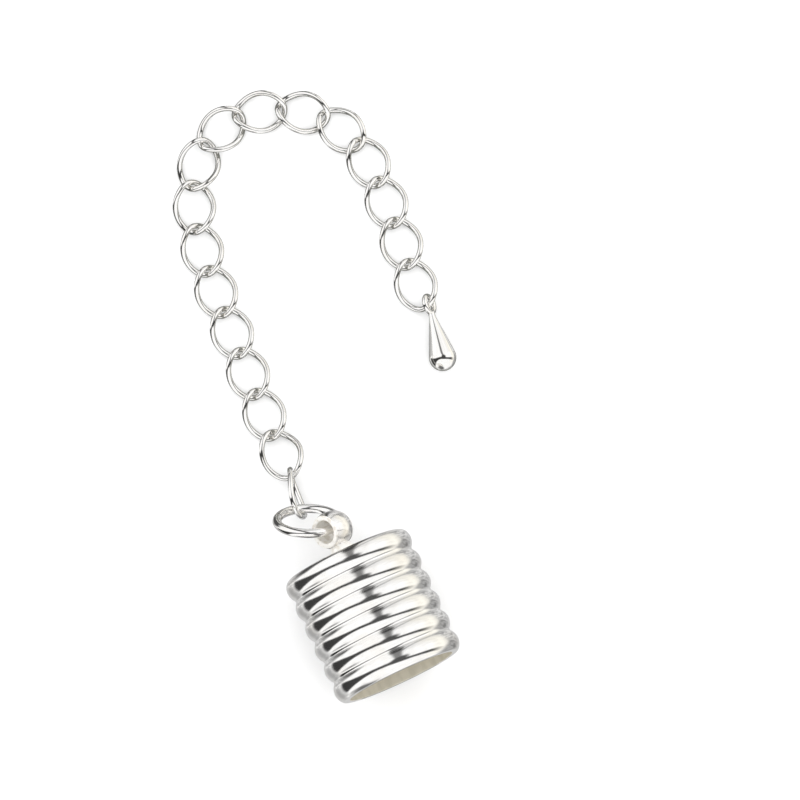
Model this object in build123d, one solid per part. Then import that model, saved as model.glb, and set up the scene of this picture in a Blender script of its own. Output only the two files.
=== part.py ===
from build123d import *
import math
import os

# Fluted end cap with its jump ring, extender chain and drop, in mm.
# The cap lies on its side: its axis is Y, its mouth is at the origin and opens towards -Y, +Z is up.

# End cap: a cast cup with round ridges
BORE = 8.5
WALL = 0.48
RIDGE_COUNT = 6
RIDGE_PITCH = 1.7
RIDGE_RISE = 0.42
VALLEY_ROUND = 0.26
BORE_CORNER_ROUND = 0.4
TOP_WALL = 0.9
SHOULDER_ROUND = 0.65
LIP_ROUND = 0.2

# Cast eye on a short neck at the cap's closed end
EYE_OUTER = 2.9
EYE_HOLE = 1.8
EYE_LENGTH = 1.9
EYE_RIM = 0.33
EYE_MOUTH_ROUND = 0.1
EYE_TURN = 45.0
NECK_WIDTH = 1.9
NECK_TOP_WIDTH = 1.5
NECK_HEIGHT = 0.7
NECK_FLARE = 0.3

# Jump ring of round wire with a saw cut; it hangs from the eye and faces up and back
RING_OUTER = 5.4
RING_WIRE = 0.7
RING_SEAT = 0.05
RING_SHIFT = 0.15
RING_CUT = 0.08
RING_CUT_PLACE = 200.0
RING_TOWARDS = Vector(-0.618, 0.614, -0.492)
RING_FACING = Vector(0.362, 0.777, 0.514)

# Extender chain of twisted oval links
LINK_COUNT = 17
LINK_LENGTH = 4.34
LINK_WIDTH = 3.35
LINK_WIRE = 0.42
LINK_TWIST = 36.0
LINK_PLAY = 0.1
LINK_CORNERS = 12
FIRST_LINK_TWIST = 12.0
FIRST_LINK_PLACE = 142.0
FIRST_LINK_ROLL = 80.0
FIRST_LINK_WAY = Vector(0.2, 0.933, -0.3)

# Route of the chain on the surface, in plan, after the two links next to the ring
CHAIN_ROUTE = [
    (-0.8, 22.9),
    (-0.35, 29.8),
    (0.2, 36.6),
    (1.0, 40.0),
    (2.7, 43.0),
    (5.6, 44.9),
    (9.2, 44.6),
    (12.3, 43.0),
    (14.3, 40.4),
    (14.8, 37.1),
    (14.6, 33.5),
    (14.3, 30.1),
    (13.9, 27.4),
    (13.8, 25.7),
]

# Drop on the chain's last link, with a wire eye
DROP_BELLY = 2.1
DROP_LENGTH = 4.3
DROP_TIP = 0.5
DROP_STEM = 0.15
DROP_EYE_WIRE = 0.4
DROP_EYE_HOLE = 0.9
DROP_SEAT = 22.0
DROP_SEAT_STEP = 1.0
DROP_HEADING = -101.0

# Worked out from the sizes above
bore_radius = BORE / 2
valley_radius = bore_radius + WALL
crest_radius = valley_radius + RIDGE_RISE
cap_length = RIDGE_COUNT * RIDGE_PITCH
bore_depth = cap_length - TOP_WALL
floor = -crest_radius
eye_center = Vector(0, cap_length + NECK_HEIGHT + EYE_OUTER / 2, 0)
ring_radius = (RING_OUTER - RING_WIRE) / 2
half_length = (LINK_LENGTH - LINK_WIRE) / 2
half_width = (LINK_WIDTH - LINK_WIRE) / 2
half_pitch = half_length - (LINK_WIRE + LINK_PLAY) / 2


def nearest_corner(face, x, y):
    """The corner of a flat outline nearest to a place."""
    return face.vertices().sort_by_distance((x, y, 0))[0]


def rounded(face, places, radius):
    """The outline with its corners at these places rounded."""
    return fillet([nearest_corner(face, x, y) for x, y in places], radius)


def square_to(direction, other):
    """The part of a direction that is square to another, one unit long."""
    return (direction - other * direction.dot(other) / other.dot(other)).normalized()


def make_cup():
    """The cup: its outer wall is a row of round ridges, its bore is plain and its far end is closed."""
    ridges = []
    for i in range(RIDGE_COUNT):
        low = i * RIDGE_PITCH
        crest = (crest_radius, low + RIDGE_PITCH / 2)
        ridges.append(ThreePointArc((valley_radius, low), crest, (valley_radius, low + RIDGE_PITCH)))
    inside = Polyline(
        (valley_radius, cap_length),
        (0, cap_length),
        (0, bore_depth),
        (bore_radius, bore_depth),
        (bore_radius, 0),
        (valley_radius, 0),
    )
    section = make_face(ridges + [inside])
    valleys = [(valley_radius, i * RIDGE_PITCH) for i in range(1, RIDGE_COUNT)]
    section = rounded(section, valleys, VALLEY_ROUND)
    section = rounded(section, [(valley_radius, cap_length)], SHOULDER_ROUND)
    section = rounded(section, [(valley_radius, 0)], LIP_ROUND)
    section = rounded(section, [(bore_radius, bore_depth)], BORE_CORNER_ROUND)
    return revolve(section, Axis.Y)


def make_neck():
    """The neck between the closed end and the eye, flared where it leaves the cup."""
    base = NECK_WIDTH / 2
    foot = cap_length - TOP_WALL / 2
    top = eye_center.Y - (EYE_OUTER + EYE_HOLE) / 4
    flare = ThreePointArc(
        (base + NECK_FLARE, cap_length),
        (base + NECK_FLARE * (1 - math.sin(math.pi / 4)), cap_length + NECK_FLARE * (1 - math.sin(math.pi / 4))),
        (base, cap_length + NECK_FLARE),
    )
    side = Polyline(
        (base, cap_length + NECK_FLARE),
        (NECK_TOP_WIDTH / 2, top),
        (0, top),
        (0, foot),
        (base + NECK_FLARE, foot),
        (base + NECK_FLARE, cap_length),
    )
    return revolve(make_face([flare, side]), Axis.Y)


def make_eye():
    """The drilled eye: a barrel whose hole is square to the cap's axis and turned about it."""
    hole = EYE_HOLE / 2
    rim = hole + EYE_RIM
    half = EYE_LENGTH / 2
    ends = Polyline((rim, half), (hole, half), (hole, -half), (rim, -half))
    section = make_face([ends, ThreePointArc((rim, -half), (EYE_OUTER / 2, 0), (rim, half))])
    section = rounded(section, [(hole, -half), (hole, half), (rim, -half), (rim, half)], EYE_MOUTH_ROUND)
    turn = math.radians(EYE_TURN)
    hole_axis = Vector(-math.sin(turn), 0, math.cos(turn))
    ring = revolve(section, Axis.Y)
    return Plane(origin=eye_center, x_dir=(0, 1, 0), z_dir=hole_axis).location * Rot(90, 0, 0) * ring


def make_end_cap():
    """The whole casting: cup, neck and eye in one piece."""
    return make_cup() + make_neck() + make_eye()


def ring_plane():
    """The plane of the jump ring: X points from its middle to the eye and Z is its axis."""
    towards = square_to(RING_TOWARDS, RING_FACING)
    middle = eye_center + towards * (ring_radius - RING_SEAT) + RING_FACING.normalized() * RING_SHIFT
    return Plane(origin=middle, x_dir=towards * -1, z_dir=RING_FACING)


def make_jump_ring():
    """The jump ring: wire bent round until its sawn ends nearly meet."""
    cut = math.degrees(RING_CUT / ring_radius)
    wire = Plane.XZ * Pos(ring_radius, 0) * Circle(RING_WIRE / 2)
    bent = revolve(wire, Axis.Z, 360 - cut)
    return ring_plane().location * Rot(0, 0, RING_CUT_PLACE + cut / 2) * bent


def bent_wire(corners, wire):
    """A closed ring of round wire: an arc at each corner and a straight run between two arcs."""
    pieces = []
    arc_starts = []
    arc_stops = []
    for i, here in enumerate(corners):
        back = corners[i - 1] - here
        ahead = corners[(i + 1) % len(corners)] - here
        reach = 0.45 * min(back.length, ahead.length)
        turn = 180 - back.get_angle(ahead)
        bend = reach / math.tan(math.radians(turn / 2))
        way = back.normalized() * -1
        inward = square_to(ahead, way)
        start = here - way * reach
        section = Plane(origin=start, x_dir=inward, z_dir=way) * Circle(wire / 2)
        pieces.append(revolve(section, Axis(start + inward * bend, way.cross(inward)), turn))
        arc_starts.append(start)
        arc_stops.append(here + ahead.normalized() * reach)
    for i, stop in enumerate(arc_starts):
        run = stop - arc_stops[i - 1]
        section = Plane(origin=arc_stops[i - 1], z_dir=run) * Circle(wire / 2)
        pieces.append(extrude(section, run.length))
    return pieces[0].fuse(*pieces[1:])


def link_point(degrees, twist=LINK_TWIST):
    """A point on a link's centre line: an oval whose ends are turned about its length."""
    along = math.cos(math.radians(degrees))
    across = half_width * math.sin(math.radians(degrees))
    turn = math.radians(twist * along)
    return Vector(half_length * along, across * math.cos(turn), across * math.sin(turn))


def make_link(twist):
    """One link about its own middle, with its length along X and lying flat on average."""
    spread = 1 / math.cos(math.pi / LINK_CORNERS)
    places = [360 * (i + 0.5) / LINK_CORNERS for i in range(LINK_CORNERS)]
    corners = [link_point(place, twist) * spread for place in places]
    return bent_wire(corners, LINK_WIRE)


def link_plane(near, far, roll):
    """The plane of a link between two joints of the chain, rolled about its length."""
    way = (far - near).normalized()
    up = square_to(Vector(0, 0, 1), way).rotate(Axis((0, 0, 0), way), roll)
    return Plane(origin=(near + far) * 0.5, x_dir=way, z_dir=up)


def chain_planes(rest):
    """The planes of all links: the first hangs from the ring and the others follow the route."""
    ring = ring_plane()
    place = math.radians(FIRST_LINK_PLACE)
    strand = ring.from_local_coords(Vector(ring_radius * math.cos(place), ring_radius * math.sin(place), 0))
    way = FIRST_LINK_WAY.normalized()
    middle = strand + way * (half_length - (LINK_WIRE + RING_WIRE + LINK_PLAY) / 2)
    joints = [middle - way * half_pitch, middle + way * half_pitch]
    route = Spline((joints[1].X, joints[1].Y), *CHAIN_ROUTE)
    end_way = route % 1
    for i in range(1, LINK_COUNT):
        distance = 2 * half_pitch * i
        spare = max(0, distance - route.length)
        place = route @ (min(distance, route.length) / route.length) + end_way * spare
        joints.append(Vector(place.X, place.Y, rest))
    rolls = [FIRST_LINK_ROLL] + [0] * (LINK_COUNT - 1)
    return [link_plane(joints[i], joints[i + 1], rolls[i]) for i in range(LINK_COUNT)]


def make_drop():
    """The drop with its middle line along X and the middle of its wire eye at the origin."""
    belly = DROP_BELLY / 2
    eye_line = (DROP_EYE_HOLE + DROP_EYE_WIRE) / 2
    tip = Vector(DROP_EYE_HOLE / 2 + DROP_EYE_WIRE + DROP_STEM, DROP_TIP / 2)
    belly_middle = Vector(tip.X + DROP_LENGTH - belly, 0)
    to_tip = tip - belly_middle
    turn = math.atan2(to_tip.Y, to_tip.X) - math.acos(belly / to_tip.length)
    cone_end = belly_middle + Vector(math.cos(turn), math.sin(turn)) * belly
    low_turn = turn / 2
    side = Polyline((tip.X + DROP_LENGTH, 0), (eye_line, 0), (eye_line, tip.Y), tip, cone_end)
    round_end = ThreePointArc(
        cone_end,
        belly_middle + Vector(math.cos(low_turn), math.sin(low_turn)) * belly,
        (tip.X + DROP_LENGTH, 0),
    )
    body = revolve(make_face([side, round_end]), Axis.X)
    eye = Torus(eye_line, DROP_EYE_WIRE / 2)
    return body + eye, belly_middle.X


def drop_plane(last_link, belly_distance):
    """The plane of the drop: its eye is on the last link's wire and its belly lies on the surface."""
    seat = last_link.from_local_coords(link_point(DROP_SEAT))
    ahead = last_link.from_local_coords(link_point(DROP_SEAT + DROP_SEAT_STEP))
    dip = math.asin((floor + DROP_BELLY / 2 - seat.Z) / belly_distance)
    heading = math.radians(DROP_HEADING)
    way = Vector(math.cos(heading) * math.cos(dip), math.sin(heading) * math.cos(dip), math.sin(dip))
    return Plane(origin=seat, x_dir=way, z_dir=square_to(ahead - seat, way))


os.makedirs("parts", exist_ok=True)

end_cap = make_end_cap()
export_step(end_cap, "parts/end_cap.step")

jump_ring = make_jump_ring()
export_step(jump_ring, "parts/jump_ring.step")

link = make_link(LINK_TWIST)
planes = chain_planes(floor - link.bounding_box().min.Z)
export_step(planes[0].location * make_link(FIRST_LINK_TWIST), "parts/chain_link_01.step")
for number, plane in enumerate(planes[1:], 2):
    export_step(plane.location * link, f"parts/chain_link_{number:02d}.step")

drop, belly_distance = make_drop()
export_step(drop_plane(planes[-1], belly_distance).location * drop, "parts/drop.step")
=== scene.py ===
import math

import bpy
import numpy as np
from mathutils import Matrix, Vector


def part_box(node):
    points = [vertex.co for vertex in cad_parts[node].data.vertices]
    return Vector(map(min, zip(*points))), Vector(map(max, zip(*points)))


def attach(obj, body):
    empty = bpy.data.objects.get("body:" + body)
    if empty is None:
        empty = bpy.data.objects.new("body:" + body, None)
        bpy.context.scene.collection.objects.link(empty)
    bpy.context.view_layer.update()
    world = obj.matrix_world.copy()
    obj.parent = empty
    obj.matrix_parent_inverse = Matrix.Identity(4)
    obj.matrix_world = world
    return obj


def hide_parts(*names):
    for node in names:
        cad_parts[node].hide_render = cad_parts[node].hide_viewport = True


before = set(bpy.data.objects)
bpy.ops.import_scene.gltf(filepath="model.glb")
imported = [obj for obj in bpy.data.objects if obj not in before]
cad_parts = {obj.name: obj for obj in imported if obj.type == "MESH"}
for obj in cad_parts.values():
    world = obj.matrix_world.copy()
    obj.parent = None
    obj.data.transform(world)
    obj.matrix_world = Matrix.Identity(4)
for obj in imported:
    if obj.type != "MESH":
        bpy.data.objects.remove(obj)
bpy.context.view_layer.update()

# Camera
# The part is photographed from almost straight above through a long lens. The picture is turned so that the
# cap's closed end points up and to the left.
MM = 0.001
VIEW_AZIMUTH = math.radians(-25)
VIEW_ELEVATION = math.radians(82)
PICTURE_WIDTH = 60.56 * MM
PICTURE_MIDDLE = (-0.1 * MM, 20.93 * MM)
SENSOR_WIDTH = 36.0
LENS = 400.0
CLIP_START = 0.01
CLIP_END = 20.0

towards_camera = Vector((
    math.sin(VIEW_AZIMUTH) * math.cos(VIEW_ELEVATION),
    -math.cos(VIEW_AZIMUTH) * math.cos(VIEW_ELEVATION),
    math.sin(VIEW_ELEVATION),
))
picture_right = Vector((math.cos(VIEW_AZIMUTH), math.sin(VIEW_AZIMUTH), 0))
picture_up = towards_camera.cross(picture_right)
camera_data = bpy.data.cameras.new("camera")
camera_data.lens = LENS
camera_data.sensor_width = SENSOR_WIDTH
camera_data.clip_start = CLIP_START
camera_data.clip_end = CLIP_END
camera = bpy.data.objects.new("camera", camera_data)
aim = picture_right * PICTURE_MIDDLE[0] + picture_up * PICTURE_MIDDLE[1]
camera_turn = Matrix((picture_right, picture_up, towards_camera)).transposed().to_4x4()
camera_distance = LENS / SENSOR_WIDTH * PICTURE_WIDTH
camera.matrix_world = Matrix.Translation(aim + towards_camera * camera_distance) @ camera_turn
bpy.context.scene.collection.objects.link(camera)
bpy.context.scene.camera = camera
bpy.context.scene.view_settings.view_transform = "Standard"


# Studio
# A tent of white cloth stands all round the part. The polished metal mirrors its grey ground, its dark gap
# that widens to a door at the left, its seam, and the lens on its arm and stand. A value that ends in X, Y or
# Z says where a change starts and where it is full, along that part of the way looked at.
NOISE_MIDDLE = 0.5
TENT_WHITE = 1.07
CLOTH_CHANGE = 0.45
CLOTH_FINENESS = 5.0
CORNER_SHADE = 0.78
CORNER_X = (-0.1, 0.3)
CORNER_Y = (0.25, 0.9)
GROUND_LEFT = 0.68
GROUND_RIGHT_LEVELS = (0.33, 0.60)
GROUND_RIGHT_Y = (-0.35, 0.35)
GROUND_SIDES_X = (-0.3, 0.3)
GROUND_Z = (-0.40, -0.74)
GROUND_RIGHT_RISE = 0.22
GROUND_RIGHT_RISE_X = (0.3, 0.7)
GROUND_BACK = 0.08
GROUND_BACK_X = (0.5, 0.1)
GROUND_BACK_Y = (0.35, 0.75)
GROUND_BACK_RISE = 0.50
GROUND_FRONT = 0.16
GROUND_FRONT_X = (-0.15, -0.4)
GROUND_FRONT_Y = (-0.45, -0.75)
GROUND_FRONT_RISE = 0.55
GROUND_NEAR = 0.62
GROUND_NEAR_Y = (0.5, 0.2)
GROUND_NEAR_Z = (-0.80, -0.96)
STREAK_FINENESS = 4.5
STREAK_STRETCH = (1.0, 3.0, 1.0)
STREAK_SPAN = (0.35, 0.65)
STREAK_LEVELS = (0.65, 1.4)
DOOR_SHADE = 0.40
DOOR_SHADE_MIDDLE = -0.12
DOOR_SHADE_HALF_WIDTH = 0.28
DOOR_SHADE_SOFTNESS = 0.1
DOOR_SHADE_X = (-0.2, -0.4)
SEAM_WAY = Vector((-0.786, 0.487, -0.380))
SEAM_PLACE = -0.015
SEAM_HALF_WIDTH = 0.05
SEAM_SOFTNESS = 0.045
SEAM_X = (0.1, 0.16)
SEAM_Y = (0.4, 0.6)
SEAM_LEVELS = (0.22, 0.55)
SEAM_FADE_X = (0.2, 0.6)
ARM_PLACE = 0.115
ARM_HALF_WIDTH = 0.125
ARM_SOFTNESS = 0.05
ARM_GREY = 0.20
ARM_Y = (0.0, 0.2)
ARM_Z = (-0.1, 0.1)
STAND_HALF_WIDTH = 0.15
STAND_Y = (0.78, 0.88)
STAND_GREY = 0.045
STAND_RUFFLE = 0.16
STAND_RUFFLE_FINENESS = 20.0
GAP_GREY = 0.04
GAP_DROP = -0.53
GAP_DROP_X = (-0.75, 0.9)
GAP_HALF_WIDTHS = (0.16, 0.12)
GAP_NARROWING_X = (0.1, 0.55)
GAP_SOFTNESS = 0.055
GAP_FOOT = -0.05
GAP_END_SOFTNESSES = (0.08, 0.35)
GAP_END_X = (0.0, 0.5)
DOOR_EXTRA_WIDTH = 0.22
DOOR_SILL = -0.53
DOOR_X = (-0.3, -0.6)
DOOR_Z = (0.85, -0.45)
LENS_WAY = Vector((0.105, -0.10, 0.989))
LENS_SIZE = math.radians(17.5)
LENS_SOFTNESS = math.radians(6)
LENS_GREY = 0.06
WHITE = (1.0, 1.0, 1.0, 1.0)
WARM_CLOTH = (1.0, 0.975, 0.90, 1.0)
WARM_X = (0.35, 0.8)
WARM_TOP_Z = (0.45, 0.0)
WARM_FOOT_Z = (-0.55, -0.2)
TABLE_LIGHT = 1.5


def wire_up(tree, *joined):
    """Joins pairs of sockets in a node tree."""
    for out_socket, in_socket in joined:
        tree.links.new(out_socket, in_socket)


def feed(tree, socket, value):
    """Joins a socket to an input, or sets the input to a number, vector or colour."""
    if isinstance(value, bpy.types.NodeSocket):
        tree.links.new(value, socket)
    else:
        socket.default_value = value


def maths(tree, operation, *values):
    """A Math node whose inputs are sockets or numbers; returns its output."""
    node = tree.nodes.new("ShaderNodeMath")
    node.operation = operation
    for socket, value in zip(node.inputs, values):
        feed(tree, socket, value)
    return node.outputs[0]


def vector_maths(tree, operation, *values):
    """A Vector Math node whose inputs are sockets or vectors; returns the output that it fills."""
    node = tree.nodes.new("ShaderNodeVectorMath")
    node.operation = operation
    for socket, value in zip(node.inputs, values):
        feed(tree, socket, value)
    return node.outputs["Value" if operation in ("DOT_PRODUCT", "LENGTH") else "Vector"]


def noise(tree, where, fineness, detail=2.0):
    """Soft clouds between 0 and 1; returns their level."""
    node = tree.nodes.new("ShaderNodeTexNoise")
    feed(tree, node.inputs["Vector"], where)
    feed(tree, node.inputs["Scale"], fineness)
    node.inputs["Detail"].default_value = detail
    return node.outputs["Fac"]


def ramp(tree, value, span, levels=(0.0, 1.0)):
    """A smooth step from one level to another as a value goes from one end of a span to the other."""
    node = tree.nodes.new("ShaderNodeMapRange")
    node.interpolation_type = "SMOOTHSTEP"
    feed(tree, node.inputs["Value"], value)
    for label, number in zip(("From Min", "From Max", "To Min", "To Max"), (*span, *levels)):
        node.inputs[label].default_value = number
    return node.outputs["Result"]


def mixed(tree, mask, first, second):
    """A number or colour that gives way to another where a mask is 1."""
    node = tree.nodes.new("ShaderNodeMix")
    coloured = any(isinstance(value, (tuple, bpy.types.NodeSocketColor)) for value in (first, second))
    node.data_type = "RGBA" if coloured else "FLOAT"
    for label, value in (("Factor", mask), ("A", first), ("B", second)):
        feed(tree, node.inputs[label], value)
    return node.outputs["Result"]


def product(tree, *masks):
    """Where all masks are 1."""
    whole = masks[0]
    for mask in masks[1:]:
        whole = maths(tree, "MULTIPLY", whole, mask)
    return whole


def band(tree, value, middle, half_width, softness):
    """A mask that is 1 where a value is near a middle."""
    distance = maths(tree, "ABSOLUTE", maths(tree, "SUBTRACT", value, middle))
    return ramp(tree, maths(tree, "SUBTRACT", distance, half_width), (softness, -softness))


def uneven(tree, clouds, change, level):
    """A level that changes with clouds, up and down by half of the change."""
    return maths(tree, "MULTIPLY_ADD", maths(tree, "SUBTRACT", clouds, NOISE_MIDDLE), change, level)


studio = bpy.data.worlds.new("studio")
studio.use_nodes = True
bpy.context.scene.world = studio
tent = studio.node_tree
tent.nodes.clear()
way = tent.nodes.new("ShaderNodeTexCoord").outputs["Generated"]
split_way = tent.nodes.new("ShaderNodeSeparateXYZ")
wire_up(tent, (way, split_way.inputs[0]))
way_x, way_y, way_z = split_way.outputs

# White cloth, a little uneven, and darker in the corner at the back and right
level = uneven(tent, noise(tent, way, CLOTH_FINENESS), CLOTH_CHANGE, TENT_WHITE)
corner = product(tent, ramp(tent, way_y, CORNER_Y), ramp(tent, way_x, CORNER_X))
level = maths(tent, "MULTIPLY", level, maths(tent, "MULTIPLY_ADD", corner, CORNER_SHADE - 1, 1.0))

# Ground: streaky grey, darkest at the back and front, where it also stands higher
ground_right = ramp(tent, way_y, GROUND_RIGHT_Y, GROUND_RIGHT_LEVELS)
ground_level = mixed(tent, ramp(tent, way_x, GROUND_SIDES_X), GROUND_LEFT, ground_right)
streaks = noise(tent, vector_maths(tent, "MULTIPLY", way, STREAK_STRETCH), STREAK_FINENESS)
ground_level = maths(tent, "MULTIPLY", ground_level, ramp(tent, streaks, STREAK_SPAN, STREAK_LEVELS))
before_door = band(tent, way_y, DOOR_SHADE_MIDDLE, DOOR_SHADE_HALF_WIDTH, DOOR_SHADE_SOFTNESS)
at_door = product(tent, before_door, ramp(tent, way_x, DOOR_SHADE_X))
at_back = product(tent, ramp(tent, way_y, GROUND_BACK_Y), ramp(tent, way_x, GROUND_BACK_X))
at_front = product(tent, ramp(tent, way_y, GROUND_FRONT_Y), ramp(tent, way_x, GROUND_FRONT_X))
under_part = product(tent, ramp(tent, way_z, GROUND_NEAR_Z), ramp(tent, way_y, GROUND_NEAR_Y))
for mask, grey in (
    (at_door, DOOR_SHADE),
    (at_back, GROUND_BACK),
    (at_front, GROUND_FRONT),
    (under_part, GROUND_NEAR),
):
    ground_level = mixed(tent, mask, ground_level, grey)
ground_height = way_z
for rise in (
    maths(tent, "MULTIPLY", at_back, GROUND_BACK_RISE),
    maths(tent, "MULTIPLY", at_front, GROUND_FRONT_RISE),
    ramp(tent, way_x, GROUND_RIGHT_RISE_X, (0.0, GROUND_RIGHT_RISE)),
):
    ground_height = maths(tent, "SUBTRACT", ground_height, rise)
level = mixed(tent, ramp(tent, ground_height, GROUND_Z), level, ground_level)

# Seam in the cloth at the back and right
along_seam = vector_maths(tent, "DOT_PRODUCT", way, SEAM_WAY)
seam_line = band(tent, along_seam, SEAM_PLACE, SEAM_HALF_WIDTH, SEAM_SOFTNESS)
seam = product(tent, seam_line, ramp(tent, way_x, SEAM_X), ramp(tent, way_y, SEAM_Y))
seam_level = mixed(tent, seam, 1.0, ramp(tent, way_x, SEAM_FADE_X, SEAM_LEVELS))
level = maths(tent, "MULTIPLY", level, seam_level)

# Arm that carries the lens, and its stand with a ruffled cloth about it
arm_line = band(tent, way_x, ARM_PLACE, ARM_HALF_WIDTH, ARM_SOFTNESS)
arm = product(tent, arm_line, ramp(tent, way_y, ARM_Y), ramp(tent, way_z, ARM_Z))
level = mixed(tent, arm, level, ARM_GREY)
stand_width = uneven(tent, noise(tent, way, STAND_RUFFLE_FINENESS), STAND_RUFFLE, STAND_HALF_WIDTH)
stand_line = band(tent, way_x, ARM_PLACE, stand_width, ARM_SOFTNESS)
level = mixed(tent, product(tent, stand_line, ramp(tent, way_y, STAND_Y)), level, STAND_GREY)

# Gap between the tent's roof and its front flap, with the door
door = product(tent, ramp(tent, way_z, DOOR_Z), ramp(tent, way_x, DOOR_X))
gap_width = maths(tent, "ADD", maths(tent, "MULTIPLY", door, DOOR_EXTRA_WIDTH),
                  ramp(tent, way_x, GAP_NARROWING_X, GAP_HALF_WIDTHS))
from_gap = maths(tent, "SUBTRACT", way_y, ramp(tent, way_x, GAP_DROP_X, (0.0, GAP_DROP)))
gap_end = ramp(tent, way_x, DOOR_X, (GAP_FOOT, DOOR_SILL))
end_softness = ramp(tent, way_x, GAP_END_X, GAP_END_SOFTNESSES)
end_distance = maths(tent, "DIVIDE", maths(tent, "SUBTRACT", way_z, gap_end), end_softness)
gap = product(tent, band(tent, from_gap, 0.0, gap_width, GAP_SOFTNESS), ramp(tent, end_distance, (-1.0, 1.0)))
level = mixed(tent, gap, level, GAP_GREY)

# Lens
lens_span = (math.cos(LENS_SIZE + LENS_SOFTNESS), math.cos(LENS_SIZE - LENS_SOFTNESS))
lens = ramp(tent, vector_maths(tent, "DOT_PRODUCT", way, LENS_WAY), lens_span)
level = mixed(tent, lens, level, LENS_GREY)

# Warm light on the cloth at the right
between_heights = product(tent, ramp(tent, way_z, WARM_TOP_Z), ramp(tent, way_z, WARM_FOOT_Z))
warmth = product(tent, ramp(tent, way_x, WARM_X), between_heights)
mirrored = tent.nodes.new("ShaderNodeBackground")
plain = tent.nodes.new("ShaderNodeBackground")
plain.inputs["Color"].default_value = WHITE
plain.inputs["Strength"].default_value = TABLE_LIGHT
choice = tent.nodes.new("ShaderNodeMixShader")
wire_up(
    tent,
    (mixed(tent, warmth, WHITE, WARM_CLOTH), mirrored.inputs["Color"]),
    (level, mirrored.inputs["Strength"]),
    (tent.nodes.new("ShaderNodeLightPath").outputs["Is Glossy Ray"], choice.inputs["Fac"]),
    (plain.outputs[0], choice.inputs[1]),
    (mirrored.outputs[0], choice.inputs[2]),
    (choice.outputs[0], tent.nodes.new("ShaderNodeOutputWorld").inputs["Surface"]),
)


# Table
# A plain sheet of matt white card lies under the part and runs out of the picture on all sides. It shows only
# the soft shade of the pieces that lie on it. The metal sees painted shade on it near the pieces: a dark matt
# colour where ambient occlusion finds the card shaded. Farther off the card is clear to the metal, which sees
# the tent's ground.
TABLE_HEIGHT = -5.15 * MM
TABLE_HALF = 600 * MM
CARD_WHITE = (0.93, 0.93, 0.93, 1.0)
CARD_ROUGHNESS = 0.9
CARD_GLOSS = 0.1
# Painted shade: the dark matt colour that the metal sees on the card near the pieces
PAINTED_SHADE_COLOUR = (0.195, 0.20, 0.185, 1.0)
SHADE_REACH = 1.3 * MM
SHADE_OPENNESS = (0.99, 0.90)


def card_finish():
    """White card, which the metal sees only where a piece shades it, and there as painted shade of a dark
    matt colour.
    """
    material = bpy.data.materials.new("white_card")
    material.use_nodes = True
    tree = material.node_tree
    surface = tree.nodes["Principled BSDF"]
    surface.inputs["Base Color"].default_value = CARD_WHITE
    surface.inputs["Roughness"].default_value = CARD_ROUGHNESS
    surface.inputs["Specular IOR Level"].default_value = CARD_GLOSS
    # Painted shade in the metal: where ambient occlusion is low, the clear card turns into the dark colour
    openness = tree.nodes.new("ShaderNodeAmbientOcclusion")
    openness.inputs["Distance"].default_value = SHADE_REACH
    shade = tree.nodes.new("ShaderNodeBsdfDiffuse")
    shade.inputs["Color"].default_value = PAINTED_SHADE_COLOUR
    clear = tree.nodes.new("ShaderNodeBsdfTransparent")
    in_metal = tree.nodes.new("ShaderNodeMixShader")
    on_table = tree.nodes.new("ShaderNodeMixShader")
    wire_up(
        tree,
        (ramp(tree, openness.outputs["AO"], SHADE_OPENNESS), in_metal.inputs["Fac"]),
        (clear.outputs[0], in_metal.inputs[1]),
        (shade.outputs[0], in_metal.inputs[2]),
        (tree.nodes.new("ShaderNodeLightPath").outputs["Is Glossy Ray"], on_table.inputs["Fac"]),
        (surface.outputs[0], on_table.inputs[1]),
        (in_metal.outputs[0], on_table.inputs[2]),
        (on_table.outputs[0], tree.nodes["Material Output"].inputs["Surface"]),
    )
    return material


corner_ways = ((-1, -1), (1, -1), (1, 1), (-1, 1))
card_corners = [(x * TABLE_HALF, y * TABLE_HALF, TABLE_HEIGHT) for x, y in corner_ways]
card_mesh = bpy.data.meshes.new("card")
card_mesh.from_pydata(card_corners, [], [(0, 1, 2, 3)])
card_mesh.materials.append(card_finish())
table_card = bpy.data.objects.new("table_card", card_mesh)
bpy.context.scene.collection.objects.link(table_card)


# End cap
# The cup for the cord's end, its neck and its drilled eye are one zinc casting, polished and silver plated.
# The bore is left as cast, because the cord is glued into it.
BORE = 8.5
WALL = 0.48
RIDGES = 6
RIDGE_PITCH = 1.7
RIDGE_RISE = 0.42
VALLEY_ROUND = 0.26
BORE_CORNER_ROUND = 0.4
BORE_EDGE_ROUND = 0.06
TOP_WALL = 0.9
SHOULDER_ROUND = 0.65
LIP_ROUND = 0.2
NECK_WIDTH = 1.9
NECK_TOP_WIDTH = 1.5
NECK_HEIGHT = 0.7
NECK_FLARE = 0.3
EYE_OUTER = 2.9
EYE_HOLE = 1.8
EYE_LENGTH = 1.9
EYE_RIM = 0.33
EYE_MOUTH_ROUND = 0.1
EYE_TURN = math.radians(45)
CAP_FACETS = 180
EYE_FACETS = 72
ROUND_STEPS = 8
EDGE_STEPS = 5
RIDGE_STEPS = 22
VALLEY_STEPS = 6
BARREL_STEPS = 20
RUN_SHARES = (0.75, 0.5, 0.25)
TURNING_RADIUS = 1 * MM
WELD_DISTANCE = 0.001 * MM
QUARTER_TURN = math.pi / 2

bore_radius = BORE / 2
valley_radius = bore_radius + WALL
crest_radius = valley_radius + RIDGE_RISE
cap_length = RIDGES * RIDGE_PITCH
bore_depth = cap_length - TOP_WALL
eye_middle = Vector((0, cap_length + NECK_HEIGHT + EYE_OUTER / 2, 0))
hole_way = Vector((-math.sin(EYE_TURN), 0, math.cos(EYE_TURN)))


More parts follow.
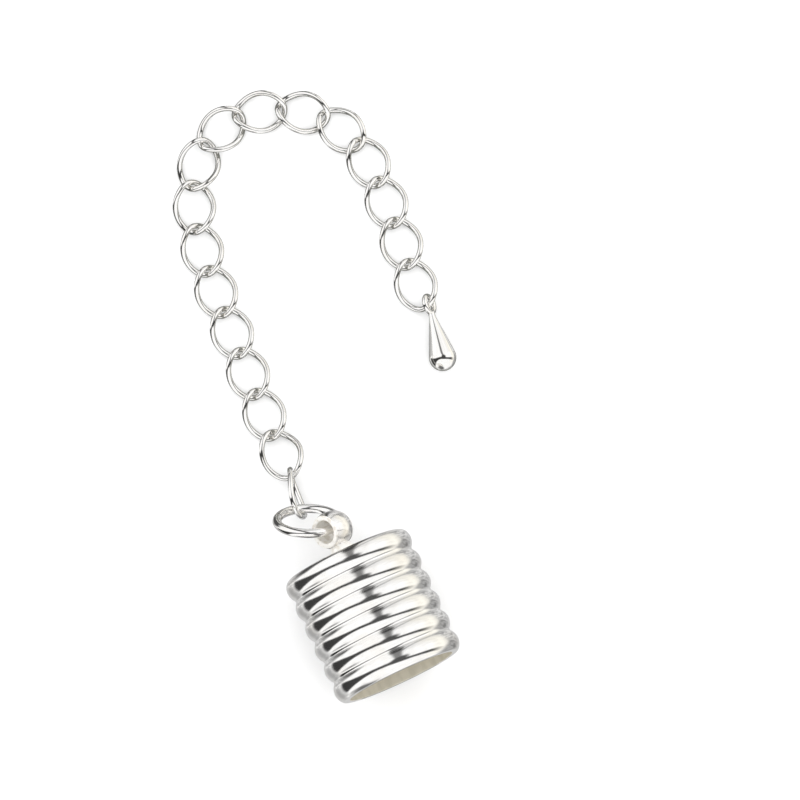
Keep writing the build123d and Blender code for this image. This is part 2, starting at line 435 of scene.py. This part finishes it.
def arc(middle, radius, start, stop, steps):
    """Points on an arc of a section, with both its ends."""
    points = []
    for step in range(steps + 1):
        turn = start + (stop - start) * step / steps
        points.append((middle[0] + radius * math.cos(turn), middle[1] + radius * math.sin(turn)))
    return points


def cup_section():
    """The half section of cup, flare and neck, as radius and distance from the mouth, in mm."""
    ridge_round = ((RIDGE_PITCH / 2) ** 2 + RIDGE_RISE ** 2) / (2 * RIDGE_RISE)
    ridge_middle = crest_radius - ridge_round
    lean = math.asin(RIDGE_PITCH / 2 / (ridge_round + VALLEY_ROUND))
    valley_middle = ridge_middle + (ridge_round + VALLEY_ROUND) * math.cos(lean)
    lip_lean = math.asin((RIDGE_PITCH / 2 - LIP_ROUND) / (ridge_round - LIP_ROUND))
    lip_middle = ridge_middle + (ridge_round - LIP_ROUND) * math.cos(lip_lean)
    shoulder_lean = math.asin((RIDGE_PITCH / 2 - SHOULDER_ROUND) / (ridge_round - SHOULDER_ROUND))
    shoulder_middle = ridge_middle + (ridge_round - SHOULDER_ROUND) * math.cos(shoulder_lean)
    points = [(0, bore_depth)]
    corner_middle = (bore_radius - BORE_CORNER_ROUND, bore_depth - BORE_CORNER_ROUND)
    points += arc(corner_middle, BORE_CORNER_ROUND, QUARTER_TURN, 0, ROUND_STEPS)
    for share in RUN_SHARES:
        points.append((bore_radius, (bore_depth - BORE_CORNER_ROUND) * share))
    edge_middle = (bore_radius + BORE_EDGE_ROUND, BORE_EDGE_ROUND)
    points += arc(edge_middle, BORE_EDGE_ROUND, math.pi, QUARTER_TURN * 3, EDGE_STEPS)
    points += arc((lip_middle, LIP_ROUND), LIP_ROUND, -QUARTER_TURN, -lip_lean, ROUND_STEPS)
    for ridge in range(RIDGES):
        middle = (ridge_middle, (ridge + 0.5) * RIDGE_PITCH)
        start = -lip_lean if ridge == 0 else -lean
        stop = shoulder_lean if ridge == RIDGES - 1 else lean
        points += arc(middle, ridge_round, start, stop, RIDGE_STEPS)[1:]
        if ridge < RIDGES - 1:
            valley = (valley_middle, (ridge + 1) * RIDGE_PITCH)
            points += arc(valley, VALLEY_ROUND, math.pi + lean, math.pi - lean, VALLEY_STEPS)[1:]
    shoulder = (shoulder_middle, cap_length - SHOULDER_ROUND)
    points += arc(shoulder, SHOULDER_ROUND, shoulder_lean, QUARTER_TURN, ROUND_STEPS)[1:]
    foot = NECK_WIDTH / 2 + NECK_FLARE
    for share in RUN_SHARES:
        points.append((foot + (shoulder_middle - foot) * share, cap_length))
    points += arc((foot, cap_length + NECK_FLARE), NECK_FLARE, -QUARTER_TURN, -math.pi, ROUND_STEPS)
    neck_top = eye_middle.y - (EYE_OUTER + EYE_HOLE) / 4
    points += [(NECK_TOP_WIDTH / 2, neck_top), (0, neck_top)]
    return points


def eye_section():
    """The wall of the eye, cut along its hole: flat rims, a barrel outside and small rounds at the mouths."""
    hole = EYE_HOLE / 2
    half = EYE_LENGTH / 2
    bulge = EYE_OUTER / 2 - (hole + EYE_RIM)
    barrel_round = (half ** 2 + bulge ** 2) / (2 * bulge)
    lean = math.asin(half / barrel_round)
    mouth = hole + EYE_MOUTH_ROUND
    points = arc((mouth, -half + EYE_MOUTH_ROUND), EYE_MOUTH_ROUND, -math.pi, -QUARTER_TURN, EDGE_STEPS)
    points += arc((EYE_OUTER / 2 - barrel_round, 0), barrel_round, -lean, lean, BARREL_STEPS)
    points += arc((mouth, half - EYE_MOUTH_ROUND), EYE_MOUTH_ROUND, QUARTER_TURN, math.pi, EDGE_STEPS)
    return points


def outline_mesh(name, points, closed):
    """A section as a mesh of edges, in metres."""
    mesh = bpy.data.meshes.new(name)
    edges = [(i, i + 1) for i in range(len(points) - 1)]
    if closed:
        edges.append((len(points) - 1, 0))
    mesh.from_pydata([(r * MM, along * MM, 0) for r, along in points], edges, [])
    return mesh


def new_group(name, kind, inputs, outputs):
    """An empty node group with named inputs and outputs; returns it and its two end nodes."""
    tree = bpy.data.node_groups.new(name, kind)
    for direction, sockets in (("INPUT", inputs), ("OUTPUT", outputs)):
        for label, form in sockets.items():
            tree.interface.new_socket(label, in_out=direction, socket_type="NodeSocket" + form)
    return tree, tree.nodes.new("NodeGroupInput"), tree.nodes.new("NodeGroupOutput")


def turned_tree():
    """Turns a section about the Y axis, as a lathe would, and closes it where it meets the axis."""
    tree, given, made = new_group(
        "turned_about_axis",
        "GeometryNodeTree",
        {"Section": "Geometry", "Facets": "Int", "Finish": "Material"},
        {"Mesh": "Geometry"},
    )
    where = tree.nodes.new("GeometryNodeInputPosition")
    split = tree.nodes.new("ShaderNodeSeparateXYZ")
    moved = tree.nodes.new("ShaderNodeCombineXYZ")
    place = tree.nodes.new("GeometryNodeSetPosition")
    section = tree.nodes.new("GeometryNodeMeshToCurve")
    path = tree.nodes.new("GeometryNodeCurvePrimitiveCircle")
    path.inputs["Radius"].default_value = TURNING_RADIUS
    sweep = tree.nodes.new("GeometryNodeCurveToMesh")
    stand = tree.nodes.new("GeometryNodeTransform")
    stand.inputs["Rotation"].default_value = (-QUARTER_TURN, 0, 0)
    close = tree.nodes.new("GeometryNodeMergeByDistance")
    close.inputs["Distance"].default_value = WELD_DISTANCE
    real = tree.nodes.new("GeometryNodeRealizeInstances")
    finish = tree.nodes.new("GeometryNodeSetMaterial")
    wire_up(
        tree,
        (where.outputs[0], split.inputs[0]),
        (maths(tree, "SUBTRACT", split.outputs["X"], TURNING_RADIUS), moved.inputs["X"]),
        (maths(tree, "MULTIPLY", split.outputs["Y"], -1.0), moved.inputs["Y"]),
        (given.outputs["Section"], place.inputs["Geometry"]),
        (moved.outputs[0], place.inputs["Position"]),
        (place.outputs[0], section.inputs["Mesh"]),
        (given.outputs["Facets"], path.inputs["Resolution"]),
        (path.outputs["Curve"], sweep.inputs["Curve"]),
        (section.outputs["Curve"], sweep.inputs["Profile Curve"]),
        (sweep.outputs["Mesh"], stand.inputs["Geometry"]),
        (stand.outputs[0], close.inputs["Geometry"]),
        (close.outputs[0], real.inputs[0]),
        (real.outputs[0], finish.inputs["Geometry"]),
        (given.outputs["Finish"], finish.inputs["Material"]),
        (finish.outputs[0], made.inputs["Mesh"]),
    )
    return tree


def grown(name, tree, mesh, values):
    """Runs a tree on a mesh with these named inputs and returns the result as a plain mesh."""
    source = bpy.data.objects.new(name + "_source", mesh)
    bpy.context.scene.collection.objects.link(source)
    modifier = source.modifiers.new("shape", "NODES")
    modifier.node_group = tree
    for socket in tree.interface.items_tree:
        if socket.in_out == "INPUT" and socket.name in values:
            modifier[socket.identifier] = values[socket.name]
    evaluated = source.evaluated_get(bpy.context.evaluated_depsgraph_get())
    made = bpy.data.meshes.new_from_object(evaluated)
    made.name = name
    bpy.data.objects.remove(source)
    return made


def turned(name, points, closed, facets, finish):
    """A section turned about the Y axis, as a mesh."""
    values = {"Facets": facets, "Finish": finish}
    return grown(name, turned_about_axis, outline_mesh(name + "_outline", points, closed), values)


def faced_outwards(mesh):
    """Turns a closed mesh inside out if its faces point inwards."""
    volume = 0.0
    mesh.calc_loop_triangles()
    for triangle in mesh.loop_triangles:
        a, b, c = (mesh.vertices[i].co for i in triangle.vertices)
        volume += a.dot(b.cross(c))
    if volume < 0:
        mesh.flip_normals()
    return mesh


def as_piece(name, mesh, sharp_above=math.radians(40)):
    """A smooth-shaded object of a mesh, linked to the scene, with its place in its mesh."""
    mesh.shade_smooth()
    mesh.set_sharp_from_angle(angle=sharp_above)
    piece = bpy.data.objects.new(name, mesh)
    bpy.context.scene.collection.objects.link(piece)
    return piece


def joined(name, mesh, added_mesh):
    """One piece of two solids that are cast or soldered together."""
    piece = as_piece(name, mesh)
    added = as_piece(name + "_added", added_mesh)
    union = piece.modifiers.new("joined", "BOOLEAN")
    union.operation = "UNION"
    union.solver = "EXACT"
    union.object = added
    whole = bpy.data.meshes.new_from_object(piece.evaluated_get(bpy.context.evaluated_depsgraph_get()))
    bpy.data.objects.remove(piece)
    bpy.data.objects.remove(added)
    return as_piece(name, whole)


LINES_STRETCH = (1.0, 6.0, 1.0)
LINES_DETAIL = 4.0
WAVES_FINENESS = 700.0
WAVES_DETAIL = 1.0
DULL_FINENESS_SHARE = 0.12
DULL_DETAIL = 3.0


def polish_marks_group():
    """What polishing leaves: fine lines over slow waves as a height, and a little change of roughness."""
    tree, given, made = new_group(
        "polish_marks",
        "ShaderNodeTree",
        {"Fineness": "Float", "Waves": "Float", "Roughness": "Float", "Change": "Float"},
        {"Height": "Float", "Roughness": "Float"},
    )
    where = tree.nodes.new("ShaderNodeTexCoord").outputs["Object"]
    stretched = vector_maths(tree, "MULTIPLY", where, LINES_STRETCH)
    lines = noise(tree, stretched, given.outputs["Fineness"], LINES_DETAIL)
    waves = noise(tree, where, WAVES_FINENESS, WAVES_DETAIL)
    dull_fineness = maths(tree, "MULTIPLY", given.outputs["Fineness"], DULL_FINENESS_SHARE)
    dull_clouds = noise(tree, where, dull_fineness, DULL_DETAIL)
    roughness = uneven(tree, dull_clouds, given.outputs["Change"], given.outputs["Roughness"])
    wire_up(
        tree,
        (maths(tree, "MULTIPLY_ADD", waves, given.outputs["Waves"], lines), made.inputs["Height"]),
        (roughness, made.inputs["Roughness"]),
    )
    return tree


TARNISH_FINENESS = 420.0
TARNISH_DETAIL = 5.0
TARNISH_SPAN = (0.42, 0.72)


def plate_colour_group():
    """The plating's colour, with faint warm clouds where it has begun to tarnish."""
    tree, given, made = new_group(
        "plate_colour",
        "ShaderNodeTree",
        {"Plate": "Color", "Tarnish": "Color", "Amount": "Float"},
        {"Colour": "Color"},
    )
    where = tree.nodes.new("ShaderNodeTexCoord").outputs["Object"]
    clouds = ramp(tree, noise(tree, where, TARNISH_FINENESS, TARNISH_DETAIL), TARNISH_SPAN)
    tarnished = maths(tree, "MULTIPLY", clouds, given.outputs["Amount"])
    colour = mixed(tree, tarnished, given.outputs["Plate"], given.outputs["Tarnish"])
    wire_up(tree, (colour, made.inputs["Colour"]))
    return tree


polish_marks = polish_marks_group()
plate_colour = plate_colour_group()
SILVER = (0.94, 0.93, 0.915, 1.0)
TARNISH = (0.80, 0.74, 0.64, 1.0)


def plated(name, roughness, change, fineness, waves, bump, tarnish):
    """A silver-plated finish; returns the material, its surface, and its colour and roughness to add to."""
    material = bpy.data.materials.new(name)
    material.use_nodes = True
    tree = material.node_tree
    surface = tree.nodes["Principled BSDF"]
    surface.inputs["Metallic"].default_value = 1.0
    marks = tree.nodes.new("ShaderNodeGroup")
    marks.node_tree = polish_marks
    marks.inputs["Fineness"].default_value = fineness
    marks.inputs["Waves"].default_value = waves
    marks.inputs["Roughness"].default_value = roughness
    marks.inputs["Change"].default_value = change
    plate = tree.nodes.new("ShaderNodeGroup")
    plate.node_tree = plate_colour
    plate.inputs["Plate"].default_value = SILVER
    plate.inputs["Tarnish"].default_value = TARNISH
    plate.inputs["Amount"].default_value = tarnish
    relief = tree.nodes.new("ShaderNodeBump")
    relief.inputs["Strength"].default_value = 1.0
    relief.inputs["Distance"].default_value = bump
    wire_up(
        tree,
        (marks.outputs["Height"], relief.inputs["Height"]),
        (relief.outputs["Normal"], surface.inputs["Normal"]),
        (marks.outputs["Roughness"], surface.inputs["Roughness"]),
        (plate.outputs["Colour"], surface.inputs["Base Color"]),
    )
    return material, surface, plate.outputs["Colour"], marks.outputs["Roughness"]


CASTING_POLISH = {
    "roughness": 0.13,
    "change": 0.05,
    "fineness": 1500.0,
    "waves": 28.0,
    "bump": 0.0006 * MM,
    "tarnish": 0.25,
}
BORE_COLOUR = (0.63, 0.59, 0.49, 1.0)
BORE_STREAK = (0.55, 0.515, 0.42, 1.0)
BORE_STREAK_FINENESS = 1500.0
BORE_STREAK_DETAIL = 3.0
BORE_STREAK_STRETCH = (1.0, 0.4, 1.0)
BORE_STREAK_SPAN = (0.40, 0.68)
BORE_METAL = 0.3
BORE_ROUGHNESS = 0.55
BORE_FADE = (0.05, 0.01)
EYE_CAST_COLOUR = (0.95, 0.93, 0.885, 1.0)
EYE_CAST_MOTTLE = (0.78, 0.74, 0.67, 1.0)
EYE_MOTTLE_FINENESS = 2600.0
EYE_MOTTLE_SPAN = (0.48, 0.66)
EYE_CAST_ROUGHNESS = 0.45
EYE_CAST_METAL = 0.15
EYE_FADE = (0.0, 0.3)
EYE_FACE_FADE = (-0.12, -0.04)
EYE_HOLE_FADE = (0.1, 0.02)
NECK_FADE = (0.25, 0.05)


def fade(tree, value, place, distances):
    """A mask that goes from 0 to 1 between two distances, in mm, from a place."""
    return ramp(tree, value, tuple((place + distance) * MM for distance in distances))


def bore_mask(tree, where, from_mouth):
    """1 on the wall and the floor of the bore."""
    within_cup = fade(tree, from_mouth, cap_length, (-TOP_WALL / 3, -TOP_WALL / 2))
    from_axis = vector_maths(tree, "LENGTH", vector_maths(tree, "MULTIPLY", where, (1.0, 0.0, 1.0)))
    return product(tree, within_cup, fade(tree, from_axis, bore_radius, BORE_FADE))


def eye_cast_mask(tree, where, from_mouth):
    """1 on the faces and in the hole of the eye, and at its root on the neck, which the polishing missed."""
    from_eye = vector_maths(tree, "SUBTRACT", where, eye_middle * MM)
    along_hole = maths(tree, "ABSOLUTE", vector_maths(tree, "DOT_PRODUCT", from_eye, hole_way))
    from_hole = vector_maths(tree, "LENGTH", vector_maths(tree, "CROSS_PRODUCT", from_eye, hole_way))
    at_face = fade(tree, along_hole, EYE_LENGTH / 2, EYE_FACE_FADE)
    in_hole = fade(tree, from_hole, EYE_HOLE / 2, EYE_HOLE_FADE)
    at_neck = fade(tree, from_mouth, cap_length + NECK_HEIGHT, NECK_FADE)
    missed = maths(tree, "MAXIMUM", at_neck, maths(tree, "MAXIMUM", at_face, in_hole))
    return product(tree, fade(tree, from_mouth, cap_length, EYE_FADE), missed)


def casting_finish():
    """Silver plate over the casting, with the bore and parts of the eye left as cast."""
    material, surface, colour, roughness = plated("plated_casting", **CASTING_POLISH)
    tree = material.node_tree
    where = tree.nodes.new("ShaderNodeTexCoord").outputs["Object"]
    split_where = tree.nodes.new("ShaderNodeSeparateXYZ")
    wire_up(tree, (where, split_where.inputs[0]))
    from_mouth = split_where.outputs["Y"]
    in_bore = bore_mask(tree, where, from_mouth)
    as_cast = eye_cast_mask(tree, where, from_mouth)
    mottle = ramp(tree, noise(tree, where, EYE_MOTTLE_FINENESS), EYE_MOTTLE_SPAN)
    stretched = vector_maths(tree, "MULTIPLY", where, BORE_STREAK_STRETCH)
    streak = ramp(tree, noise(tree, stretched, BORE_STREAK_FINENESS, BORE_STREAK_DETAIL), BORE_STREAK_SPAN)
    for mask, other in (
        (as_cast, EYE_CAST_COLOUR),
        (product(tree, as_cast, mottle), EYE_CAST_MOTTLE),
        (in_bore, BORE_COLOUR),
        (product(tree, in_bore, streak), BORE_STREAK),
    ):
        colour = mixed(tree, mask, colour, other)
    roughness = mixed(tree, as_cast, roughness, EYE_CAST_ROUGHNESS)
    roughness = mixed(tree, in_bore, roughness, BORE_ROUGHNESS)
    metal = maths(tree, "MULTIPLY_ADD", as_cast, EYE_CAST_METAL - 1, 1.0)
    metal = maths(tree, "MULTIPLY_ADD", in_bore, BORE_METAL - 1, metal)
    wire_up(
        tree,
        (colour, surface.inputs["Base Color"]),
        (roughness, surface.inputs["Roughness"]),
        (metal, surface.inputs["Metallic"]),
    )
    return material


casting = casting_finish()
turned_about_axis = turned_tree()
cup_mesh = faced_outwards(turned("cup", cup_section(), False, CAP_FACETS, casting))
eye_mesh = turned("eye", eye_section(), True, EYE_FACETS, casting)
eye_turn = Vector((0, 1, 0)).rotation_difference(hole_way).to_matrix().to_4x4()
eye_mesh.transform(Matrix.Translation(eye_middle * MM) @ eye_turn)
end_cap = joined("end_cap_casting", cup_mesh, faced_outwards(eye_mesh))
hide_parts("end_cap")
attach(end_cap, "root")


# Jump ring
# A ring of round plated wire, wound on a rod, sawn apart and pushed closed, so that a hairline cut stays
# open. It hangs from the cap's eye and leans back over it.
RING_OUTER = 5.4
RING_WIRE = 0.7
RING_SEAT = 0.05
RING_SHIFT = 0.15
RING_CUT = 0.08
RING_CUT_PLACE = math.radians(200)
RING_TOWARDS = Vector((-0.618, 0.614, -0.492))
RING_FACING = Vector((0.362, 0.777, 0.514)).normalized()
RING_SEGMENTS = 128
RING_SIDES = 24
WIRE_POLISH = {
    "roughness": 0.07,
    "change": 0.05,
    "fineness": 2500.0,
    "waves": 14.0,
    "bump": 0.0004 * MM,
    "tarnish": 0.15,
}

ring_radius = (RING_OUTER - RING_WIRE) / 2


def drawn_wire(tree, given, made, line):
    """Runs round wire along a curve, closes its ends and gives it its finish, as the end of a tree."""
    round_wire = tree.nodes.new("GeometryNodeCurvePrimitiveCircle")
    sweep = tree.nodes.new("GeometryNodeCurveToMesh")
    sweep.inputs["Fill Caps"].default_value = True
    real = tree.nodes.new("GeometryNodeRealizeInstances")
    finish = tree.nodes.new("GeometryNodeSetMaterial")
    wire_up(
        tree,
        (given.outputs["Sides"], round_wire.inputs["Resolution"]),
        (maths(tree, "MULTIPLY", given.outputs["Wire"], 0.5), round_wire.inputs["Radius"]),
        (line, sweep.inputs["Curve"]),
        (round_wire.outputs["Curve"], sweep.inputs["Profile Curve"]),
        (sweep.outputs["Mesh"], real.inputs[0]),
        (real.outputs[0], finish.inputs["Geometry"]),
        (given.outputs["Finish"], finish.inputs["Material"]),
        (finish.outputs[0], made.inputs["Mesh"]),
    )


def sawn_ring_tree():
    """A ring of round wire about Z with a saw cut at X."""
    tree, given, made = new_group(
        "sawn_ring",
        "GeometryNodeTree",
        {"Radius": "Float", "Wire": "Float", "Cut": "Float", "Segments": "Int", "Sides": "Int",
         "Finish": "Material"},
        {"Mesh": "Geometry"},
    )
    line = tree.nodes.new("GeometryNodeCurveArc")
    cut_angle = maths(tree, "DIVIDE", given.outputs["Cut"], given.outputs["Radius"])
    wire_up(
        tree,
        (given.outputs["Segments"], line.inputs["Resolution"]),
        (given.outputs["Radius"], line.inputs["Radius"]),
        (maths(tree, "MULTIPLY", cut_angle, 0.5), line.inputs["Start Angle"]),
        (maths(tree, "SUBTRACT", 2 * math.pi, cut_angle), line.inputs["Sweep Angle"]),
    )
    drawn_wire(tree, given, made, line.outputs["Curve"])
    return tree


def square_to(direction, other):
    """The part of a direction that is square to another, one unit long."""
    return (direction - other * direction.dot(other) / other.dot(other)).normalized()


def lying(middle, length_way, up_way):
    """The matrix that lays a shape with its middle here, its X along one way and its Z along another."""
    ways = Matrix((length_way, up_way.cross(length_way), up_way))
    return Matrix.Translation(middle) @ ways.transposed().to_4x4()


ring_towards = square_to(RING_TOWARDS, RING_FACING)
ring_middle = (eye_middle + ring_towards * (ring_radius - RING_SEAT) + RING_FACING * RING_SHIFT) * MM
wire_finish = plated("plated_wire", **WIRE_POLISH)[0]
ring_sizes = {
    "Radius": ring_radius * MM,
    "Wire": RING_WIRE * MM,
    "Cut": RING_CUT * MM,
    "Segments": RING_SEGMENTS,
    "Sides": RING_SIDES,
    "Finish": wire_finish,
}
ring_mesh = grown("jump_ring_wire", sawn_ring_tree(), bpy.data.meshes.new("empty"), ring_sizes)
ring_mesh.transform(lying(ring_middle, -ring_towards, RING_FACING) @ Matrix.Rotation(RING_CUT_PLACE, 4, "Z"))
jump_ring = as_piece("jump_ring_wire", faced_outwards(ring_mesh))
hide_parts("jump_ring")
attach(jump_ring, "root")


# Extender chain
# Each link is plated wire bent to an oval, closed and soldered, with one end turned against the other so that
# the chain lies flat. The first link stands on edge in the jump ring and is hardly turned.
LINK_LENGTH = 4.34
LINK_WIDTH = 3.35
LINK_WIRE = 0.42
LINK_TWIST = math.radians(36)
FIRST_LINK_TWIST = math.radians(12)
LINK_SEGMENTS = 72
LINK_SIDES = 16

half_length = (LINK_LENGTH - LINK_WIRE) / 2
half_width = (LINK_WIDTH - LINK_WIRE) / 2


def turned_link_tree():
    """An oval of round wire in the XY plane, whose ends are turned about X, each the other way."""
    tree, given, made = new_group(
        "turned_link",
        "GeometryNodeTree",
        {"Half Length": "Float", "Half Width": "Float", "Wire": "Float", "Twist": "Float", "Segments": "Int",
         "Sides": "Int", "Finish": "Material"},
        {"Mesh": "Geometry"},
    )
    circle = tree.nodes.new("GeometryNodeCurvePrimitiveCircle")
    circle.inputs["Radius"].default_value = 1.0
    where = tree.nodes.new("GeometryNodeInputPosition")
    split = tree.nodes.new("ShaderNodeSeparateXYZ")
    oval = tree.nodes.new("ShaderNodeCombineXYZ")
    place = tree.nodes.new("GeometryNodeSetPosition")
    turn = maths(tree, "MULTIPLY", split.outputs["X"], given.outputs["Twist"])
    across = maths(tree, "MULTIPLY", split.outputs["Y"], given.outputs["Half Width"])
    wire_up(
        tree,
        (given.outputs["Segments"], circle.inputs["Resolution"]),
        (where.outputs[0], split.inputs[0]),
        (maths(tree, "MULTIPLY", split.outputs["X"], given.outputs["Half Length"]), oval.inputs["X"]),
        (maths(tree, "MULTIPLY", across, maths(tree, "COSINE", turn)), oval.inputs["Y"]),
        (maths(tree, "MULTIPLY", across, maths(tree, "SINE", turn)), oval.inputs["Z"]),
        (circle.outputs["Curve"], place.inputs["Geometry"]),
        (oval.outputs[0], place.inputs["Position"]),
    )
    drawn_wire(tree, given, made, place.outputs["Geometry"])
    return tree


def lie_of(node, ahead):
    """How a link's solid lies: its middle, its X towards a place ahead and its Z up off the table.

    Its ways are the principal ones of its surface. A triangle adds its area times the sum of its corners'
    products and nine times its middle's, which is its second moment but for a common factor.
    """
    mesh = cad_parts[node].data
    mesh.calc_loop_triangles()
    triangles = [[mesh.vertices[i].co for i in triangle.vertices] for triangle in mesh.loop_triangles]
    corners = np.array(triangles)
    areas = np.linalg.norm(np.cross(corners[:, 1] - corners[:, 0], corners[:, 2] - corners[:, 0]), axis=1)
    middle = np.average(corners.mean(axis=1), axis=0, weights=areas)
    arms = corners - middle
    means = arms.mean(axis=1)
    spread = np.einsum("t,tci,tcj->ij", areas, arms, arms) + 9 * np.einsum("t,ti,tj->ij", areas, means, means)
    axes = np.linalg.eigh(spread)[1]
    length_way, up_way = Vector(axes[:, 2]), Vector(axes[:, 0])
    if length_way.dot(ahead - Vector(middle)) < 0:
        length_way = -length_way
    if up_way.z < 0:
        up_way = -up_way
    return lying(Vector(middle), length_way, up_way)


links = sorted(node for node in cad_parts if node.startswith("chain_link_"))
places = [sum((Vector(corner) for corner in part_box(node)), Vector()) / 2 for node in links + ["drop"]]
turned_link = turned_link_tree()
link_sizes = {
    "Half Length": half_length * MM,
    "Half Width": half_width * MM,
    "Wire": LINK_WIRE * MM,
    "Segments": LINK_SEGMENTS,
    "Sides": LINK_SIDES,
    "Finish": wire_finish,
}
for number, node in enumerate(links):
    link_lie = lie_of(node, places[number + 1])
    link_sizes["Twist"] = FIRST_LINK_TWIST if number == 0 else LINK_TWIST
    link_mesh = grown(node + "_wire", turned_link, bpy.data.meshes.new("empty"), link_sizes)
    link_mesh.transform(link_lie)
    sunk = TABLE_HEIGHT - min(vertex.co.z for vertex in link_mesh.vertices)
    if sunk > 0:
        link_mesh.transform(Matrix.Translation((0, 0, sunk)))
        link_lie = Matrix.Translation((0, 0, sunk)) @ link_lie
    link = as_piece(node + "_wire", faced_outwards(link_mesh))
    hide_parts(node)
    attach(link, "root")


# Drop
# A small turned teardrop with a ring of wire soldered to its tip. The ring goes through the last link, made
# just above, and the drop's belly lies on the table.
DROP_BELLY = 2.1
DROP_LENGTH = 4.3
DROP_TIP = 0.5
DROP_STEM = 0.15
DROP_EYE_WIRE = 0.4
DROP_EYE_HOLE = 0.9
DROP_SEAT = math.radians(22)
DROP_SEAT_STEP = math.radians(1)
DROP_HEADING = math.radians(-101)
DROP_FACETS = 96
DROP_EYE_SIDES = 24
BELLY_STEPS = 28

belly = DROP_BELLY / 2
drop_eye_line = (DROP_EYE_HOLE + DROP_EYE_WIRE) / 2
drop_tip = DROP_EYE_HOLE / 2 + DROP_EYE_WIRE + DROP_STEM
belly_distance = drop_tip + DROP_LENGTH - belly


def drop_section():
    """The half section of the drop from the solder at its eye to its round end, in mm."""
    down, out = drop_tip - belly_distance, DROP_TIP / 2
    turn = math.atan2(out, down) - math.acos(belly / math.hypot(down, out))
    points = [(0, drop_eye_line), (out, drop_eye_line), (out, drop_tip)]
    cone_end = (belly * math.sin(turn), belly_distance + belly * math.cos(turn))
    for share in reversed(RUN_SHARES):
        points.append((out + (cone_end[0] - out) * share, drop_tip + (cone_end[1] - drop_tip) * share))
    return points + arc((0, belly_distance), belly, QUARTER_TURN - turn, QUARTER_TURN, BELLY_STEPS)


def link_point(turn):
    """A point on the wire of a link that lies at the origin, in metres."""
    across = half_width * math.sin(turn)
    twist = LINK_TWIST * math.cos(turn)
    return Vector((half_length * math.cos(turn), across * math.cos(twist), across * math.sin(twist))) * MM


drop_finish = plated("plated_drop", **WIRE_POLISH)[0]
drop_mesh = faced_outwards(turned("drop", drop_section(), False, DROP_FACETS, drop_finish))
drop_mesh.transform(Matrix.Rotation(-QUARTER_TURN, 4, "Z"))
drop_eye_round = arc((drop_eye_line, 0), DROP_EYE_WIRE / 2, 0, 2 * math.pi, DROP_EYE_SIDES)[:-1]
drop_eye_mesh = turned("drop_eye", drop_eye_round, True, DROP_FACETS, drop_finish)
drop_eye_mesh.transform(Matrix.Rotation(QUARTER_TURN, 4, "X"))
drop = joined("drop_body", drop_mesh, faced_outwards(drop_eye_mesh))
seat = link_lie @ link_point(DROP_SEAT)
along_wire = link_lie @ link_point(DROP_SEAT + DROP_SEAT_STEP) - seat
dip = math.asin((TABLE_HEIGHT + belly * MM - seat.z) / (belly_distance * MM))
drop_way = Vector((
    math.cos(DROP_HEADING) * math.cos(dip),
    math.sin(DROP_HEADING) * math.cos(dip),
    math.sin(dip),
))
drop.data.transform(lying(seat, drop_way, square_to(along_wire, drop_way)))
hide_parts("drop")
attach(drop, "root")
